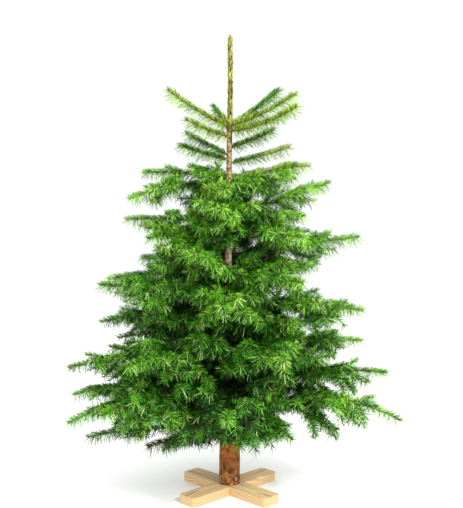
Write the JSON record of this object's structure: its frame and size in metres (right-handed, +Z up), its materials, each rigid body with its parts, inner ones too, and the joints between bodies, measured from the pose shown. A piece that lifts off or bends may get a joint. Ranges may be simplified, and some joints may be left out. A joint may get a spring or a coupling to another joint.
{
  "type": "christmas tree",
  "caption": "Cut fir for Christmas: bare leader, open upper shoots, dense rings of needled boughs round a tapering trunk, in a plain wooden cross.",
  "frame": {"origin": "middle of the stand's flat underside, on the axis of the trunk's turned end", "axes": "+Z up the trunk to the leader's tip, -Y towards the picture's viewer, +X to the viewer's right"},
  "size_m": [1.1522, 1.0376, 1.632],
  "materials": {
    "bark": "rough reddish-brown bark",
    "bough_bark": "rough tan bark of boughs and twigs",
    "needles": "glossy fresh green needles",
    "young_needles": "yellow-green needles of the top shoots",
    "plain_wood": "sawn unpainted softwood"
  },
  "bodies": {
    "root": {"bough_ring5_1": "bough_bark", "bough_ring5_2": "bough_bark", "bough_ring5_3": "bough_bark", "bough_ring6_1": "bough_bark", "bough_ring6_2": "bough_bark", "bough_ring6_3": "bough_bark", "bough_ring7_1": "bough_bark", "bough_ring7_2": "bough_bark", "bough_ring7_3": "bough_bark", "bough_ring8_1": "bough_bark", "foliage_between_1": "young_needles", "foliage_between_2": "young_needles", "foliage_between_3": "young_needles", "foliage_between_4": "young_needles", "foliage_ring1_1": "young_needles", "foliage_ring1_2": "young_needles", "foliage_ring1_3": "young_needles", "foliage_ring1_4": "young_needles", "foliage_ring1_5": "young_needles", "foliage_ring1_6": "young_needles", "foliage_ring2_1": "needles", "foliage_ring2_2": "needles", "foliage_ring2_3": "needles", "foliage_ring2_4": "needles", "foliage_ring2_5": "needles", "foliage_ring3_1": "needles", "foliage_ring3_2": "needles", "foliage_ring3_3": "needles", "foliage_ring3_4": "needles", "foliage_ring3_5": "needles", "foliage_ring3_6": "needles", "foliage_ring4_1": "needles", "foliage_ring4_2": "needles", "foliage_ring4_3": "needles", "foliage_ring4_4": "needles", "foliage_ring4_5": "needles", "foliage_ring4_6": "needles", "foliage_ring5_1": "needles", "foliage_ring5_2": "needles", "foliage_ring5_3": "needles", "foliage_ring5_4": "needles", "foliage_ring5_5": "needles", "foliage_ring6_1": "needles", "foliage_ring6_2": "needles", "foliage_ring6_3": "needles", "foliage_ring6_4": "needles", "foliage_ring6_5": "needles", "foliage_ring7_1": "needles", "foliage_ring7_2": "needles", "foliage_ring7_3": "needles", "foliage_ring7_4": "needles", "foliage_ring7_5": "needles", "foliage_ring8_1": "needles", "foliage_ring8_2": "needles", "foliage_ring8_3": "needles", "foliage_ring8_4": "needles", "foliage_ring8_5": "needles", "stand_board_lower": "plain_wood", "stand_board_upper": "plain_wood", "trunk": "bark"}
  },
  "joints": []
}
